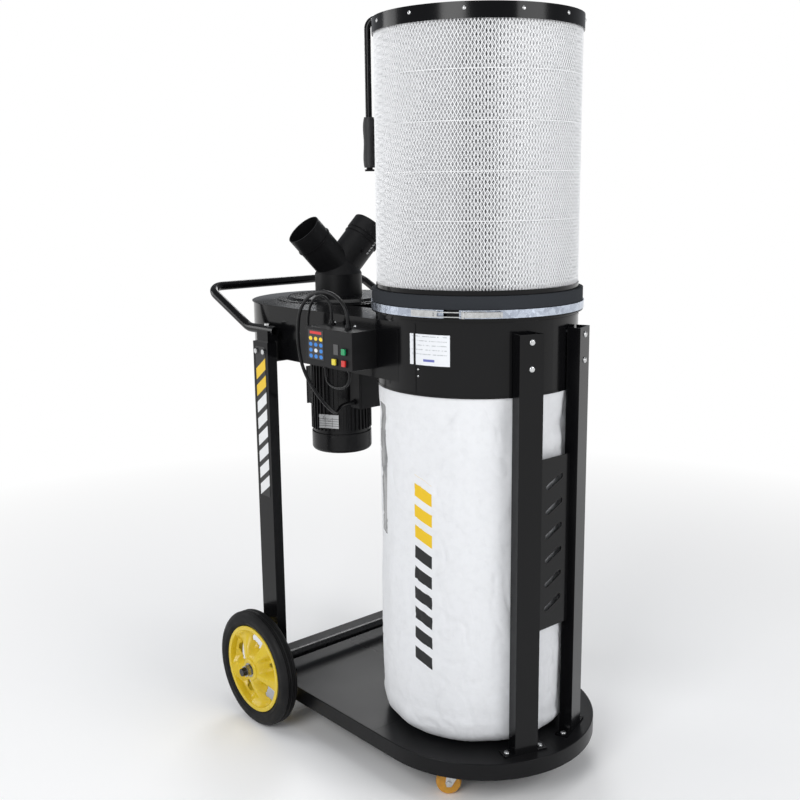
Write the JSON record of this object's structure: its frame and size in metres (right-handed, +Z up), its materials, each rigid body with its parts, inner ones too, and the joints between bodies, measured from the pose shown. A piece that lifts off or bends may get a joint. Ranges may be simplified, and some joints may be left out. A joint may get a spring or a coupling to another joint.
{
  "type": "mobile dust collector",
  "caption": "Wheeled workshop dust collector: a fan and motor blow through a drum into a pleated filter above and a cloth bag below, on a steel tray with a push handle.",
  "frame": {"origin": "on the floor, in the middle of the machine's length and width", "axes": "+Z up, +X forward from the push handle to the round nose of the tray, -Y the side with the control box"},
  "size_m": [1.1454, 0.814, 1.917],
  "materials": {
    "amber_tread": "satin",
    "bag_cloth": "matt",
    "black_enamel": "gloss",
    "black_plastic": "satin",
    "cast_alloy": "rough",
    "filter_mesh": "satin",
    "filter_paper": "matt",
    "foam": "matt",
    "green_button": "gloss",
    "grip_rubber": "matt",
    "lead_rubber": "satin",
    "motor_enamel": "satin",
    "red_button": "gloss",
    "steel": "satin",
    "tyre_rubber": "matt",
    "yellow_button": "gloss",
    "yellow_rim": "satin",
    "zinc": "satin"
  },
  "bodies": {
    "root": {"tray_front": "black_enamel", "tray_rear": "black_enamel", "caster_channel": "black_enamel", "caster_plates": "zinc", "rear_post_right": "black_enamel", "rear_post_left": "black_enamel", "axle": "steel", "ball_bearings": "steel", "fan_cradle": "black_enamel", "push_handle": "black_enamel", "handle_saddles": "black_enamel", "hex_bolts": "zinc", "dome_bolts": "zinc", "fan_housing": "black_enamel", "housing_lid": "black_enamel", "inlet_ring": "black_enamel", "outlet_duct": "black_enamel", "drum": "black_enamel", "front_post_right": "black_enamel", "front_post_left": "black_enamel", "front_panel": "black_enamel", "filter_rim_bottom": "black_enamel", "gasket": "foam", "clamp_band": "zinc", "band_catch": "zinc", "filter_rim_top": "black_enamel", "filter_mesh": "filter_mesh", "filter_pleats": "filter_paper", "dust_bag": "bag_cloth", "bag_ring": "steel", "motor_body": "motor_enamel", "motor_fan_cover": "motor_enamel", "terminal_box": "black_plastic", "capacitor_box": "black_plastic", "inlet_y": "black_plastic", "control_box": "black_plastic", "cable_glands": "black_plastic", "motor_lead": "lead_rubber", "inner_lead": "lead_rubber", "link_lead": "lead_rubber"},
    "rotor": {"impeller": "cast_alloy", "motor_shaft": "steel", "cooling_fan": "black_plastic"},
    "crank": {"crank_arm": "black_enamel", "flapper": "steel"},
    "grip": {"crank_grip": "grip_rubber"},
    "cap": {"port_cap": "black_plastic", "cap_chain": "zinc"},
    "latch": {"latch_lever": "zinc"},
    "wheel_right": {"tyre_right": "tyre_rubber", "wheel_rim_right": "yellow_rim"},
    "wheel_left": {"tyre_left": "tyre_rubber", "wheel_rim_left": "yellow_rim"},
    "swivel_right": {"caster_fork_right": "zinc"},
    "swivel_left": {"caster_fork_left": "zinc"},
    "roller_right": {"caster_wheel_right": "amber_tread"},
    "roller_left": {"caster_wheel_left": "amber_tread"},
    "start": {"start_button": "green_button"},
    "stop": {"stop_button": "red_button"},
    "mode": {"mode_button": "yellow_button"}
  },
  "joints": [
    {"name": "wheel_spin_right", "type": "hinge", "parent": "root", "child": "wheel_right", "pos_m": [-0.26925, -0.35, 0.165], "axis": [0, 1, 0], "continuous": true},
    {"name": "caster_swivel_right", "type": "hinge", "parent": "root", "child": "swivel_right", "pos_m": [0.37675, -0.19, 0.084], "axis": [0, 0, 1], "continuous": true},
    {"name": "caster_roll_right", "type": "hinge", "parent": "swivel_right", "child": "roller_right", "pos_m": [0.36363, -0.20509, 0.0325], "axis": [-0.7547, 0.6561, 0], "continuous": true},
    {"name": "wheel_spin_left", "type": "hinge", "parent": "root", "child": "wheel_left", "pos_m": [-0.26925, 0.35, 0.165], "axis": [0, 1, 0], "continuous": true},
    {"name": "caster_swivel_left", "type": "hinge", "parent": "root", "child": "swivel_left", "pos_m": [0.37675, 0.19, 0.084], "axis": [0, 0, 1], "continuous": true},
    {"name": "caster_roll_left", "type": "hinge", "parent": "swivel_left", "child": "roller_left", "pos_m": [0.36363, 0.17491, 0.0325], "axis": [-0.7547, 0.6561, 0], "continuous": true},
    {"name": "fan_spin", "type": "hinge", "parent": "root", "child": "rotor", "pos_m": [-0.30525, 0, 1], "axis": [0, 0, 1], "continuous": true},
    {"name": "crank_turn", "type": "hinge", "parent": "root", "child": "crank", "pos_m": [0.25475, 0, 1.9], "axis": [0, 0, 1], "continuous": true},
    {"name": "grip_spin", "type": "hinge", "parent": "crank", "child": "grip", "pos_m": [0.03194, -0.15601, 1.59], "axis": [0, 0, 1], "continuous": true},
    {"name": "latch_open", "type": "hinge", "parent": "root", "child": "latch", "pos_m": [0.42166, -0.21363, 1.22], "axis": [0, 0, -1], "range_deg": [0, 150]},
    {"name": "cap_pull", "type": "slide", "parent": "root", "child": "cap", "axis": [0.0949, 0.6754, 0.7314], "range_m": [0, 0.06]},
    {"name": "start_press", "type": "slide", "parent": "root", "child": "start", "axis": [0, 1, 0], "range_m": [0, 0.003], "stiffness_N_per_m": 400, "springref_m": -0.001},
    {"name": "stop_press", "type": "slide", "parent": "root", "child": "stop", "axis": [0, 1, 0], "range_m": [0, 0.003], "stiffness_N_per_m": 400, "springref_m": -0.001},
    {"name": "mode_press", "type": "slide", "parent": "root", "child": "mode", "axis": [0, 1, 0], "range_m": [0, 0.003], "stiffness_N_per_m": 400, "springref_m": -0.001}
  ]
}
